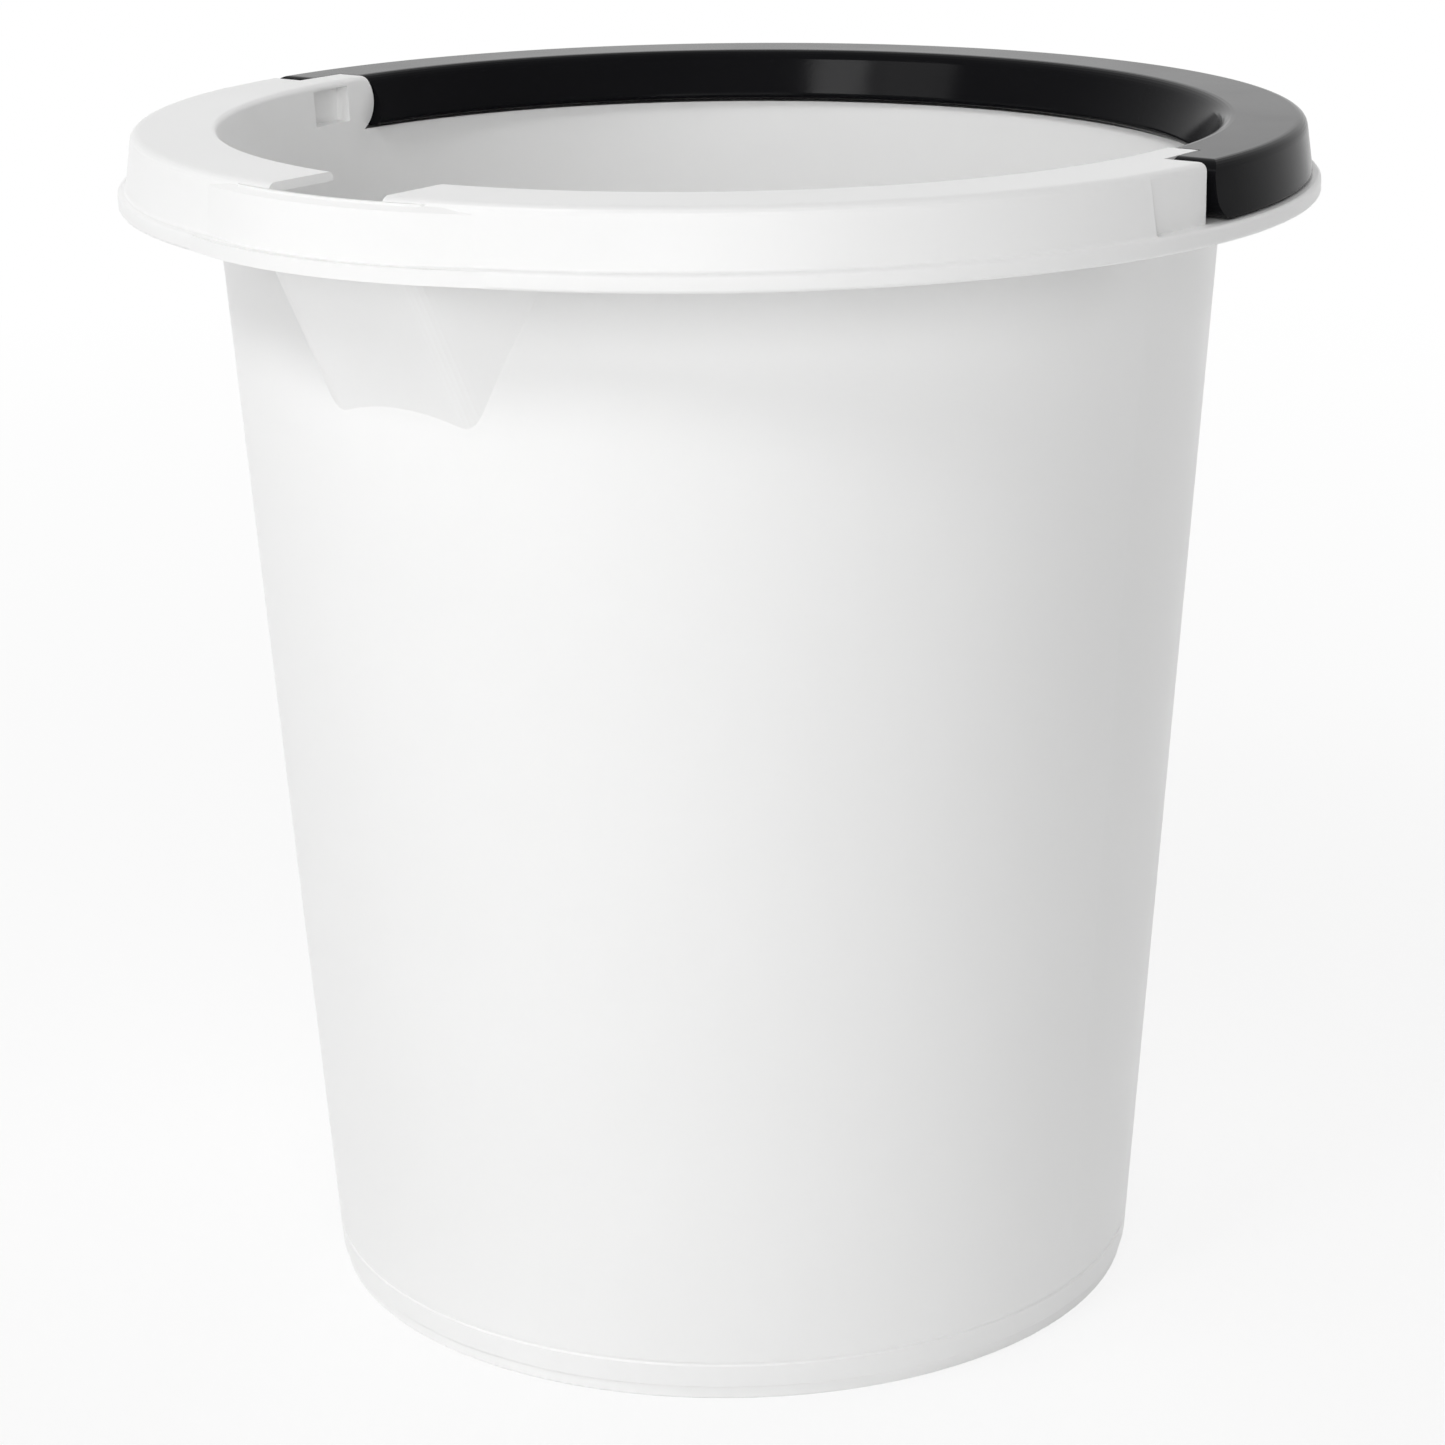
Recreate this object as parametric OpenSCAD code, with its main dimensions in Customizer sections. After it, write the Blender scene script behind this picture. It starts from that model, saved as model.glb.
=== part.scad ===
// Household bucket with a pouring spout and a swing handle that lies flush in the rim.
// Millimetres. The origin is on the floor under the middle of the foot and +Z is up.
// The spout points to -Y, the handle rests over +Y and swings about an axis along X.

/* [Body] */
// Overall height from the floor to the top of the rim
height = 303; // [240:1:360]
// Outside radius of the wall where it reaches the lip of the rim
wall_top_r = 126; // [110:0.5:140]
// Outside radius of the wall carried down to the floor
wall_foot_r = 106.5; // [90:0.5:120]
// Thickness of the wall
wall = 2.2; // [1.6:0.1:3]
// Thickness of the floor plate
floor_t = 2.6; // [1.8:0.1:4]
// Height of the foot rim under the floor plate
foot_h = 3.7; // [2.5:0.1:6]
// Radius of the round between wall and floor inside
floor_round = 6; // [3:0.5:12]
// Height of the fine ring line above the floor
ring_line_z = 10; // [8:0.5:20]

/* [Rim] */
// Height of the whole rim from the underside of the lip to the top
rim_h = 18.2; // [15:0.1:24]
// Height of the lip at the foot of the rim
lip_h = 4.2; // [3:0.1:6]
// Width of the rim from the outside of the wall to the edge of the lip
rim_w = 24; // [21:0.5:30]
// How far the lip stands out from the band above it
lip_out = 2; // [1:0.1:4]
// How far the band leans in between the lip and the top
band_draft = 2; // [1:0.1:3]
// Thickness of the band, the shelf and the top plate
rim_t = 2.2; // [1.6:0.1:3]
// Angle between the stiffening ribs under the front band
front_rib_step = 24.5; // [20:0.5:27]
// Number of stiffening ribs under the rear shelf
rear_ribs = 9; // [5:1:15]

/* [Spout] */
// How far the spout stands out from the wall just under the lip
spout_out = 16; // [10:0.5:18]
// Depth of the spout below the lip
spout_drop = 35; // [25:1:50]
// Half width of the flat front of the spout
spout_half = 21; // [15:0.5:26]
// Angle between the flanks of the spout and its middle plane
spout_flank = 46; // [35:1:52]
// Radius of the outer edges of the spout
spout_round = 9; // [5:0.5:12]
// How far the band bulges out over the spout
spout_reach = 3; // [1:0.5:4]
// Half of the angle over which the band bulges
spout_angle = 17; // [14:0.5:20]
// Depth of the pouring edge below the top of the rim
spout_dip = 1.5; // [0.5:0.1:2]
// Half width of the notch in the top of the rim
notch_half = 17; // [12:0.5:20]

/* [Hinge] */
// Depth of the pivot axis below the top of the rim
pivot_drop = 6.2; // [5.8:0.1:6.6]
// Radius of the pivot studs
stud_r = 3.3; // [2.5:0.1:4]
// Length of the pivot studs
stud_l = 3.2; // [2.5:0.1:4]
// Radial running clearance of the studs
stud_play = 0.08; // [0.03:0.01:0.1]
// Thickness of the handle arms that carry the studs
arm_t = 5; // [4:0.1:6]
// Gap between moving and fixed faces
gap = 0.4; // [0.3:0.05:0.6]
// Width of the hinge blocks across the rim
block_w = 9; // [8:0.5:10]
// Radius of the hinge blocks about the pivot
block_r = 9; // [8.6:0.2:12]
// Length of the plain ends of the band in front of the hinges
band_end_l = 21; // [18:0.5:24]
// Distance of the handle ends in front of the pivot
handle_end = 7; // [6.6:0.1:7.2]
// Gap in front of the handle ends
end_gap = 2.2; // [1.6:0.1:3]
// How far the pockets in the mouth reach in front of the pivot
pocket_front = 15; // [12:0.5:18]

/* [Handle] */
// Inside radius of the handle at its top face
grip_top_r = 126; // [122:0.5:129]
// How far the inner face of the handle leans into the mouth
grip_lean = 6; // [3:0.5:8]
// Thickness of the handle walls
grip_t = 2.6; // [2:0.1:3.4]
// Number of stiffening ribs inside the handle
grip_ribs = 15; // [7:2:21]
// Thickness of the caps that close the handle ends
end_cap = 4; // [3.6:0.1:5]
// Radius of the lower corner at the handle ends
end_round = 6.6; // [5:0.1:6.8]
// Radius of the upper corner at the handle ends
end_top_round = 4; // [3.6:0.1:5]

/* [Hidden] */
$fn = 96;
eps = 0.6;
far = 400;
lip_z = height - rim_h;
lip_top = lip_z + lip_h;
lip_r = wall_top_r + rim_w;
band_low_r = lip_r - lip_out;
band_top_r = band_low_r - band_draft;
taper = (wall_top_r - wall_foot_r) / lip_z;
floor_z = foot_h + floor_t;
foot_out = wall_foot_r - 0.6;
plate_z = height - rim_t;
shelf_z = lip_top - rim_t;
pivot_z = height - pivot_drop;
// hinge faces along X: block, gap, arm
cheek_out_r = band_top_r - 0.4;
slot_in = bore_r(height) + block_w;
arm_in = slot_in + gap;
band_end = handle_end + end_gap;
// handle section
rest_z = lip_top + 0.3;
grip_low_r = grip_top_r - grip_lean;
// spout: the front plane leans out from the wall up to the lip
spout_u = wall_top_r + spout_out;
spout_lean = atan((spout_u - wall_r(lip_z - spout_drop)) / spout_drop);
// the band over the spout turns about its own centre, spout_c in front of the axis
band_peak = band_low_r + spout_reach;
spout_c = (band_peak * band_peak - band_low_r * band_low_r)
    / (2 * (band_peak - band_low_r * cos(spout_angle)));
bulge_low = band_peak - spout_c;
bulge_top = bulge_low - band_draft;

// outside and inside radius of the tapered wall at height z
function wall_r(z) = wall_foot_r + taper * z;
function bore_r(z) = wall_r(z) - wall;

// the arc of radius r that rounds the corner q between p and s
function arc(p, q, s, r, n = 5) =
    let (
        u = (p - q) / norm(p - q),
        v = (s - q) / norm(s - q),
        half = acos(u * v) / 2,
        c = q + (u + v) / norm(u + v) * r / sin(half),
        a = q + u * r / tan(half) - c,
        b = q + v * r / tan(half) - c,
        from = atan2(a.y, a.x),
        turn = (atan2(b.y, b.x) - from + 900) % 360 - 180
    )
    [for (i = [0:n]) c + r * [cos(from + turn * i / n), sin(from + turn * i / n)]];

// an outline of [x, y, radius] corners with every corner that has a radius rounded
function soft(pts) =
    let (n = len(pts), xy = [for (p = pts) [p[0], p[1]]])
    [for (i = [0:n - 1])
        each pts[i][2] > 0
            ? arc(xy[(i + n - 1) % n], xy[i], xy[(i + 1) % n], pts[i][2])
            : [xy[i]]];

// an outline drawn in the plane of Y and Z, extruded along X from x0 to x1
module along_x(x0, x1) {
    translate([x0, 0, 0])
        rotate([90, 0, 90])
            linear_extrude(height = x1 - x0)
                children();
}

// the same on both sides of the middle plane
module both_sides() {
    children();
    mirror([1, 0, 0])
        children();
}

// wall, floor, foot and a rim that is a channel open below, all the way round
module shell() {
    groove = 0.35;
    rotate_extrude()
        polygon(soft([
            [0, foot_h, 0],
            [foot_out - wall, foot_h, 0.8],
            [foot_out - wall, 0, 0.5],
            [foot_out, 0, 0.7],
            [foot_out, foot_h - 0.5, 0],
            [wall_r(foot_h), foot_h, 0.3],
            [wall_r(ring_line_z - 0.6), ring_line_z - 0.6, 0],
            [wall_r(ring_line_z) - groove, ring_line_z - 0.2, 0],
            [wall_r(ring_line_z) - groove, ring_line_z + 0.2, 0],
            [wall_r(ring_line_z + 0.6), ring_line_z + 0.6, 0],
            [wall_r(plate_z), plate_z, 1.5],
            [band_top_r - rim_t, plate_z, 1],
            [band_low_r - rim_t, lip_z, 0.4],
            [lip_r, lip_z, 0.9],
            [lip_r, lip_top, 1.1],
            [band_low_r, lip_top, 0.7],
            [band_top_r, height, 2.4],
            [bore_r(height), height, 1.4],
            [bore_r(floor_z), floor_z, floor_round],
            [0, floor_z, 0]
        ]));
}

// side view of a hinge block
module block_profile() {
    translate([0, pivot_z])
        circle(block_r);
    translate([-band_end - eps, shelf_z])
        square([band_end + eps, far]);
}

// everything above the shelf behind the band, except the hinge blocks
module hinge_clear() {
    along_x(-far / 2, far / 2)
        difference() {
            translate([-band_end, lip_top])
                square([far, far / 4]);
            block_profile();
        }
    both_sides()
        along_x(slot_in, far / 2)
            translate([-band_end, lip_top])
                square([far, far / 4]);
    // the ends of the band, outside the wall
    difference() {
        translate([-far / 2, -band_end - band_end_l, lip_top])
            cube([far, band_end_l + 1, far / 4]);
        cylinder(h = height + far / 4, r1 = wall_r(0), r2 = wall_r(height + far / 4));
    }
}

// the shelf that the handle rests on, tied to the lip
module shelf() {
    intersection() {
        rotate_extrude()
            polygon([
                [wall_r(shelf_z) - wall / 2, shelf_z],
                [band_low_r - rim_t / 2, shelf_z],
                [band_low_r - rim_t / 2, lip_top],
                [wall_r(lip_top) - wall / 2, lip_top]
            ]);
        translate([-far / 2, -band_end - rim_t, 0])
            cube([far, far, far]);
    }
}

// plain end of the band and the block round the bore, on the +X side
module hinge_block() {
    low = lip_z + 0.4;
    difference() {
        intersection() {
            rotate_extrude()
                polygon(soft([
                    [wall_r(low) - wall / 2, low, 0],
                    [band_low_r - rim_t / 2, low, 0],
                    [band_low_r - rim_t / 2, lip_top, 0],
                    [cheek_out_r, lip_top, 0],
                    [cheek_out_r, height, 2],
                    [wall_r(height) - wall / 2, height, 0]
                ]));
            union() {
                along_x(far / 8, far / 2)
                    translate([-band_end - band_end_l, lip_z])
                        square([band_end_l, far / 8]);
                along_x(far / 8, slot_in)
                    block_profile();
            }
        }
        // core from below, in front of the pocket
        intersection() {
            rotate_extrude()
                polygon([
                    [wall_r(height) + 0.4, low - 1],
                    [cheek_out_r - rim_t, low - 1],
                    [cheek_out_r - rim_t, plate_z],
                    [wall_r(height) + 0.4, plate_z]
                ]);
            translate([0, -band_end - band_end_l + rim_t, 0])
                cube([far, band_end + band_end_l - 2 * rim_t - pocket_front, far]);
        }
    }
}

// blind bore for the stud, and the pocket in the mouth beside it
module hinge_bore() {
    translate([slot_in - stud_l - 0.1, 0, pivot_z])
        rotate([0, 90, 0])
            cylinder(h = stud_l + eps, r = stud_r + stud_play);
    along_x(far / 8, slot_in - stud_l - 2)
        translate([-pocket_front, pivot_z - 5])
            square([pocket_front - 0.8, height - 1.8 - pivot_z + 5]);
}

// leaning channel of the spout, grown inward by t
module spout_prism(t) {
    tip = spout_half + t * tan(spout_flank) - t / cos(spout_flank);
    deep = 60;
    wide = tip + (deep - t) * tan(spout_flank);
    translate([0, -spout_u, lip_z])
        rotate([spout_lean, 0, 0])
            translate([0, 0, -2.2 * spout_drop])
                linear_extrude(height = 3.4 * spout_drop)
                    polygon(soft([
                        [-tip, t, spout_round - t],
                        [tip, t, spout_round - t],
                        [wide, deep, 0],
                        [-wide, deep, 0]
                    ]));
}

// all that lies inside the band over the spout, t in from its outside
module spout_room(t, top) {
    translate([0, -spout_c, 0])
        cylinder(h = top, r = bulge_top - t);
}

// the spout before its way is cut, ending inside the thickness of the wall
module spout_wall() {
    difference() {
        intersection() {
            spout_prism(0);
            spout_room(rim_t / 2, plate_z + rim_t / 2);
        }
        cylinder(h = height, r1 = wall_r(0) - wall / 2, r2 = wall_r(height) - wall / 2);
    }
}

// bulge of the band over the spout, with its own piece of lip
module spout_band() {
    edge = 1.2;
    tall = height - spout_dip - edge - lip_z - 0.3;
    difference() {
        translate([0, -spout_c, lip_z + 0.3]) {
            cylinder(h = tall, r1 = bulge_low, r2 = bulge_top);
            translate([0, 0, tall])
                cylinder(h = edge, r1 = bulge_top, r2 = bulge_top - edge);
            cylinder(h = lip_h - 0.6, r = bulge_low + lip_out);
        }
        cylinder(h = height, r = band_top_r - rim_t / 2);
    }
}

// the way for the water
module spout_way() {
    intersection() {
        spout_prism(wall);
        spout_room(rim_t, height + far / 8);
        union() {
            translate([-far / 2, -far, 0])
                cube([far, far - wall_foot_r / 2, plate_z]);
            translate([-notch_half, -far, plate_z - 1])
                cube([2 * notch_half, far - wall_foot_r / 2, far]);
        }
    }
}

// radial plates at the angles given, 1.6 thick
module plates(angles) {
    for (a = angles)
        rotate([0, 0, a])
            translate([0, -0.8, 0])
                cube([lip_r, 1.6, far]);
}

// stiffening ribs in the channel of the front band
module front_ribs() {
    low = lip_z + 3;
    top = plate_z + eps;
    intersection() {
        rotate_extrude()
            polygon([
                [wall_r(low) - eps, low],
                [band_low_r - rim_t + 0.2, low],
                [band_top_r - rim_t + eps, top],
                [wall_r(top) - eps, top]
            ]);
        plates([for (k = [1:3], s = [-1, 1]) 270 + s * k * front_rib_step]);
    }
}

// stiffening ribs under the rear shelf
module shelf_ribs() {
    low = lip_z + 0.4;
    top = shelf_z + eps;
    intersection() {
        rotate_extrude()
            polygon([
                [wall_r(low) - eps, low],
                [band_low_r - rim_t + eps, low],
                [band_low_r - rim_t + eps, top],
                [wall_r(top) - eps, top]
            ]);
        plates([for (k = [0:rear_ribs - 1]) 18 + 144 * k / (rear_ribs - 1)]);
    }
}

module bucket() {
    color([0.95, 0.95, 0.94])
        difference() {
            union() {
                difference() {
                    shell();
                    hinge_clear();
                }
                shelf();
                both_sides()
                    hinge_block();
                spout_wall();
                spout_band();
                front_ribs();
                shelf_ribs();
            }
            spout_way();
            both_sides()
                hinge_bore();
        }
}

// outside of the handle section
function grip_outline() = soft([
    [grip_low_r, rest_z + 0.8, 1.2],
    [band_low_r - 0.1, rest_z, 0.7],
    [band_top_r, height, 2.6],
    [grip_top_r, height, 4]
]);

// channel inside the handle section
function grip_hollow(low) = soft([
    [grip_low_r + grip_t * 1.1, low, 0],
    [band_low_r - grip_t, low, 0],
    [band_top_r - grip_t, height - grip_t, 1.4],
    [grip_top_r + grip_t * 0.9, height - grip_t, 2.4]
]);

// the handle section swept through the rear half and a little beyond the pivot
module grip_sweep() {
    rotate([0, 0, -6])
        rotate_extrude(angle = 192)
            children();
}

// all that lies behind the hinge, stepped round the hinge blocks
module grip_room() {
    difference() {
        translate([-far / 2, -handle_end, 0])
            cube([far, far, far]);
        along_x(-arm_in, arm_in) {
            translate([0, pivot_z])
                circle(block_r + gap);
            translate([-far / 4, 0])
                square([far / 4, far]);
        }
    }
}

// rounds the lower and the upper corner of the handle ends
module end_corners() {
    along_x(-far / 2, far / 2) {
        difference() {
            translate([-handle_end - 1, rest_z - 1])
                square(end_round + 1);
            translate([end_round - handle_end, rest_z + end_round])
                circle(end_round);
        }
        difference() {
            translate([-handle_end - 1, height - end_top_round])
                square(end_top_round + 1);
            translate([end_top_round - handle_end, height - end_top_round])
                circle(end_top_round);
        }
    }
}

// closed ends of the handle channel: a cap in front and a wall round the hinge block
module grip_ends() {
    difference() {
        intersection() {
            grip_sweep()
                polygon(grip_outline());
            union() {
                both_sides()
                    translate([arm_in, -far / 4, 0])
                        cube([far, far / 4 - handle_end + end_cap, far]);
                along_x(-arm_in - eps, arm_in + eps)
                    translate([0, pivot_z])
                        circle(block_r + gap + grip_t);
            }
            grip_room();
        }
        end_corners();
    }
}

// arm on the +X side, from the cap to the channel behind the hinge block
module arm() {
    low = rest_z + 1.2;
    along_x(arm_in, arm_in + arm_t)
        translate([end_cap - eps - handle_end, low])
            square([handle_end + eps - end_cap + block_r + 6, height - 1 - low]);
}

// stud on the +X side
module stud() {
    translate([arm_in + eps, 0, pivot_z])
        rotate([0, -90, 0]) {
            cylinder(h = stud_l + eps - 0.5, r = stud_r);
            translate([0, 0, stud_l + eps - 0.5])
                cylinder(h = 0.5, r1 = stud_r, r2 = stud_r - 0.5);
        }
}

// stiffening ribs inside the handle
module grip_plates() {
    intersection() {
        rotate_extrude()
            polygon(soft([
                [grip_low_r + grip_t * 0.9 + 1.5, rest_z + 4, 0],
                [band_low_r - grip_t + 0.3, rest_z + 4, 0],
                [band_top_r - grip_t + eps, height - grip_t + eps, 0],
                [grip_top_r + 1.2, height - grip_t + eps, 0]
            ]));
        plates([for (k = [1:grip_ribs]) 10 + 160 * k / (grip_ribs + 1)]);
    }
}

module handle() {
    color([0.08, 0.08, 0.09]) {
        difference() {
            intersection() {
                grip_sweep()
                    difference() {
                        polygon(grip_outline());
                        polygon(grip_hollow(rest_z - 1));
                    }
                grip_room();
            }
            end_corners();
        }
        grip_ends();
        grip_plates();
        both_sides() {
            arm();
            stud();
        }
    }
}

bucket();
handle();
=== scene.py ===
"""Household bucket with a pouring spout and a flush swing handle: looks, light and camera."""
import math

import bpy
from mathutils import Matrix, Vector

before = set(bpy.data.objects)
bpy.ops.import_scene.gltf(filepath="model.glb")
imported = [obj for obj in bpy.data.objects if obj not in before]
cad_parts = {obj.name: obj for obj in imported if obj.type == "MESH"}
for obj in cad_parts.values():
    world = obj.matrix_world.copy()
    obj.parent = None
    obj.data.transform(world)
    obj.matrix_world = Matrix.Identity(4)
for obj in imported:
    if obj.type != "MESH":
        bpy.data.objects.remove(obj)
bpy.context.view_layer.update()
scene = bpy.context.scene
scene.view_settings.view_transform = "Standard"

# Camera, fitted to the rim, wall and foot outlines of the photograph, in metres and radians.
CAMERA_AZIMUTH = math.radians(37.0)  # from -Y, the spout's side, towards +X
CAMERA_DISTANCE = 0.9343  # from the bucket's axis
CAMERA_HEIGHT = 0.4312
CAMERA_TILT = -0.2995
CAMERA_PAN = -0.0012
CAMERA_ROLL = 0.0143
CAMERA_LENS = 92.41  # millimetres, as the sensor is
CAMERA_SENSOR = 36.0
CAMERA_REACH = 50.0  # well past the edge of the floor

# Moulded polypropylene: two close shades, the range of the roughness, the grain and the specular level.
WHITE = {
    "shades": ((0.945, 0.945, 0.941), (0.962, 0.962, 0.959)),
    "gloss": (0.30, 0.40),
    "grain": 0.06,
    "specular": 0.25,
}
BLACK = {
    "shades": ((0.004, 0.004, 0.005), (0.007, 0.007, 0.008)),
    "gloss": (0.11, 0.17),
    "grain": 0.05,
    "specular": 0.035,
}
POLYPROPYLENE_IOR = 1.49
SHADE_NOISE = {"Scale": 9.0, "Detail": 3.0, "Roughness": 0.55}
GLOSS_NOISE = {"Scale": 35.0, "Detail": 4.0, "Roughness": 0.6}
GRAIN_NOISE = {"Scale": 1400.0, "Detail": 2.0}
GRAIN_HEIGHT = 0.0002
NOISE_SPAN = (0.3, 0.7)  # the part of the noise that is spread over the shades and the roughness

# Studio, in metres.
FLOOR_SIZE = 14.0
FLOOR_COLOUR = (0.95, 0.95, 0.95, 1.0)
FLOOR_WHITE = (0.8, 1.0)  # share of plain white, near and far: the rest shows the shadow
FLOOR_FADE = (0.3, 1.4)  # distances from the axis between which that share grows
PLAIN_WHITE = {"Color": (1.0, 1.0, 1.0, 1.0), "Strength": 1.0}
FILL_LIGHT = {"Color": (1.0, 1.0, 1.0, 1.0), "Strength": 0.15}
LAMP_TARGET = Vector((0, 0, 0.16))
LAMP_DISTANCE = 1.7


def add_node(tree, kind, place, **values):
    """A shader node at a place in the editor, with the values of its sockets."""
    node = tree.nodes.new(kind)
    node.location = place
    for name, value in values.items():
        node.inputs[name.replace("_", " ")].default_value = value
    return node


def add_noise(tree, place, coords, settings):
    """Noise in the object's own coordinates."""
    noise = add_node(tree, "ShaderNodeTexNoise", place, **settings)
    tree.links.new(coords.outputs["Object"], noise.inputs["Vector"])
    return noise.outputs["Fac"]


def add_range(tree, place, value, source, goal):
    """A value moved from one span to another."""
    spans = {"From_Min": source[0], "From_Max": source[1], "To_Min": goal[0], "To_Max": goal[1]}
    node = add_node(tree, "ShaderNodeMapRange", place, **spans)
    tree.links.new(value, node.inputs["Value"])
    return node.outputs["Result"]


def add_math(tree, place, operation, first, second):
    """Two values worked into one."""
    node = add_node(tree, "ShaderNodeMath", place)
    node.operation = operation
    tree.links.new(first, node.inputs[0])
    tree.links.new(second, node.inputs[1])
    return node.outputs["Value"]


def moulded_plastic(name, shades, gloss, grain, specular):
    """Injection-moulded plastic: cloudy shade, uneven gloss and a fine grain from the tool."""
    material = bpy.data.materials.new(name)
    material.use_nodes = True
    tree = material.node_tree
    link = tree.links.new
    shader = tree.nodes["Principled BSDF"]
    shader.inputs["Specular IOR Level"].default_value = specular
    shader.inputs["IOR"].default_value = POLYPROPYLENE_IOR
    coords = add_node(tree, "ShaderNodeTexCoord", (-1100, 0))

    cloud = add_noise(tree, (-880, 260), coords, SHADE_NOISE)
    shade = add_node(tree, "ShaderNodeValToRGB", (-620, 260))
    for stop, position, colour in zip(shade.color_ramp.elements, NOISE_SPAN, shades):
        stop.position = position
        stop.color = (*colour, 1.0)
    link(cloud, shade.inputs["Fac"])
    link(shade.outputs["Color"], shader.inputs["Base Color"])

    flow = add_noise(tree, (-880, 0), coords, GLOSS_NOISE)
    link(add_range(tree, (-620, 0), flow, NOISE_SPAN, gloss), shader.inputs["Roughness"])

    fine = add_noise(tree, (-880, -260), coords, GRAIN_NOISE)
    bump = add_node(tree, "ShaderNodeBump", (-620, -260), Strength=grain, Distance=GRAIN_HEIGHT)
    link(fine, bump.inputs["Height"])
    link(bump.outputs["Normal"], shader.inputs["Normal"])
    return material


def dress(node, material):
    """Gives every material slot of a CAD node the same finish."""
    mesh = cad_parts[node].data
    if not mesh.materials:
        mesh.materials.append(material)
    for index in range(len(mesh.materials)):
        mesh.materials[index] = material


def seen_directly(tree):
    """1 for rays that show the studio itself: to the camera, in gloss and through glass."""
    rays = add_node(tree, "ShaderNodeLightPath", (-900, 200)).outputs
    either = add_math(tree, (-660, 200), "MAXIMUM", rays["Is Camera Ray"], rays["Is Glossy Ray"])
    return add_math(tree, (-460, 200), "MAXIMUM", either, rays["Is Transmission Ray"])


def blend(tree, share, lit, seen, output):
    """Sends a mix to the output: what answers the light, and a share of what is plainly seen."""
    link = tree.links.new
    mix = add_node(tree, "ShaderNodeMixShader", (140, 60))
    link(share, mix.inputs["Fac"])
    link(lit, mix.inputs[1])
    link(seen, mix.inputs[2])
    end = add_node(tree, output, (340, 60))
    link(mix.outputs["Shader"], end.inputs["Surface"])


def floor_material():
    """Pale paper that keeps a soft shadow round the object and fades to white further out."""
    material = bpy.data.materials.new("pale_floor")
    material.use_nodes = True
    tree = material.node_tree
    tree.nodes.clear()
    paper = add_node(tree, "ShaderNodeBsdfDiffuse", (-60, 60), Color=FLOOR_COLOUR)
    glow = add_node(tree, "ShaderNodeEmission", (-60, -80), **PLAIN_WHITE)
    coords = add_node(tree, "ShaderNodeTexCoord", (-900, -60))
    reach = add_node(tree, "ShaderNodeVectorMath", (-700, -60))
    reach.operation = "LENGTH"
    tree.links.new(coords.outputs["Object"], reach.inputs[0])
    white = add_range(tree, (-500, -60), reach.outputs["Value"], FLOOR_FADE, FLOOR_WHITE)
    share = add_math(tree, (-260, 200), "MULTIPLY", seen_directly(tree), white)
    sides = paper.outputs["BSDF"], glow.outputs["Emission"]
    blend(tree, share, *sides, "ShaderNodeOutputMaterial")
    return material


def make_floor():
    """A square floor under the object."""
    half = FLOOR_SIZE / 2
    corners = [(-half, -half, 0), (half, -half, 0), (half, half, 0), (-half, half, 0)]
    mesh = bpy.data.meshes.new("floor")
    mesh.from_pydata(corners, [], [(0, 1, 2, 3)])
    mesh.materials.append(floor_material())
    floor = bpy.data.objects.new("floor", mesh)
    scene.collection.objects.link(floor)


def make_world():
    """White where it is seen and a plain grey light on the object."""
    world = bpy.data.worlds.new("studio")
    scene.world = world
    world.use_nodes = True
    tree = world.node_tree
    tree.nodes.clear()
    light = add_node(tree, "ShaderNodeBackground", (-60, 60), **FILL_LIGHT)
    white = add_node(tree, "ShaderNodeBackground", (-60, -80), **PLAIN_WHITE)
    sides = light.outputs["Background"], white.outputs["Background"]
    blend(tree, seen_directly(tree), *sides, "ShaderNodeOutputWorld")


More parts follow.
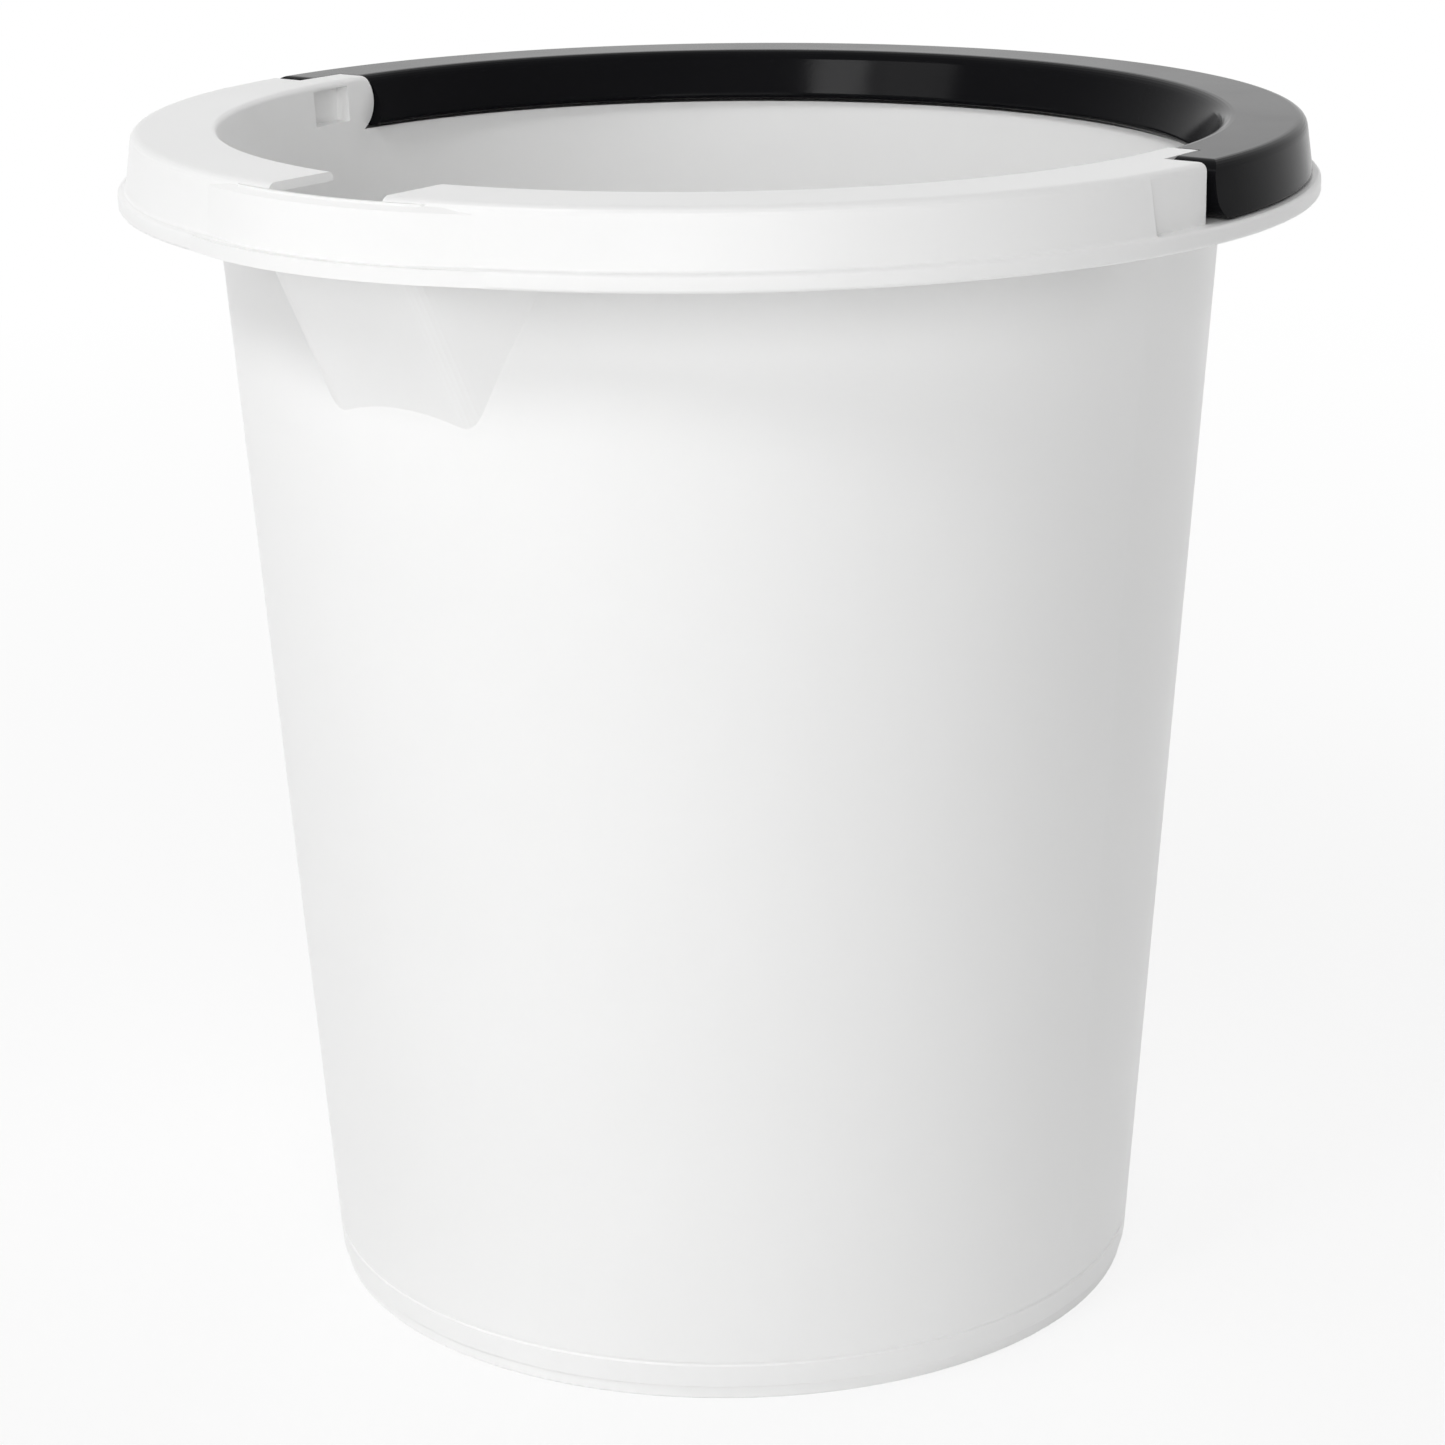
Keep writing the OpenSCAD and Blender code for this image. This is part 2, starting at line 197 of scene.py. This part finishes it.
def softbox(name, left_deg, up_deg, width, height, power, mirrored=True):
    """A soft lamp, left of the camera and above the horizon by its angles, that gloss may mirror."""
    azimuth = CAMERA_AZIMUTH - math.radians(left_deg)
    elevation = math.radians(up_deg)
    flat = LAMP_DISTANCE * math.cos(elevation)
    rise = LAMP_DISTANCE * math.sin(elevation)
    data = bpy.data.lights.new(name, "AREA")
    data.shape = "RECTANGLE"
    data.size, data.size_y = width, height
    data.energy = power
    lamp = bpy.data.objects.new(name, data)
    scene.collection.objects.link(lamp)
    lamp.location = LAMP_TARGET + Vector((flat * math.sin(azimuth), -flat * math.cos(azimuth), rise))
    lamp.rotation_euler = (LAMP_TARGET - lamp.location).to_track_quat("-Z", "Y").to_euler()
    lamp.visible_glossy = mirrored


def make_lamps():
    """Wide lamps in front, small ones that shine in the handle, and two behind that gloss doesn't show."""
    softbox("key", left_deg=80, up_deg=12, width=1.1, height=1.1, power=3.3)
    softbox("front", left_deg=2, up_deg=21, width=1.0, height=1.0, power=10.2)
    softbox("high", left_deg=37, up_deg=46, width=0.34, height=0.3, power=5)
    softbox("high_left", left_deg=60, up_deg=46, width=0.5, height=0.36, power=2.8)
    softbox("rear", left_deg=-140, up_deg=27, width=1.6, height=1.4, power=13, mirrored=False)
    softbox("rear_left", left_deg=140, up_deg=27, width=1.6, height=1.4, power=7.8, mirrored=False)


def make_camera():
    """The photograph's camera, on a heading to the bucket's axis."""
    right = Vector((math.cos(CAMERA_AZIMUTH), math.sin(CAMERA_AZIMUTH), 0))
    ahead = Vector((-math.sin(CAMERA_AZIMUTH), math.cos(CAMERA_AZIMUTH), 0))
    place = -ahead * CAMERA_DISTANCE + Vector((0, 0, CAMERA_HEIGHT))
    pan, tilt, roll = CAMERA_PAN, CAMERA_TILT, CAMERA_ROLL
    heading = math.cos(pan) * ahead + math.sin(pan) * right
    side = math.cos(pan) * right - math.sin(pan) * ahead
    view = math.cos(tilt) * heading + Vector((0, 0, math.sin(tilt)))
    up = Vector((0, 0, math.cos(tilt))) - math.sin(tilt) * heading
    x_axis = math.cos(roll) * side - math.sin(roll) * up
    y_axis = math.sin(roll) * side + math.cos(roll) * up
    data = bpy.data.cameras.new("camera")
    data.lens = CAMERA_LENS
    data.sensor_width = CAMERA_SENSOR
    data.clip_end = CAMERA_REACH
    camera = bpy.data.objects.new("camera", data)
    scene.collection.objects.link(camera)
    turn = Matrix((x_axis, y_axis, -view)).transposed().to_4x4()
    camera.matrix_world = Matrix.Translation(place) @ turn
    scene.camera = camera


dress("bucket", moulded_plastic("white_polypropylene", **WHITE))
dress("handle", moulded_plastic("black_polypropylene", **BLACK))
make_floor()
make_world()
make_lamps()
make_camera()
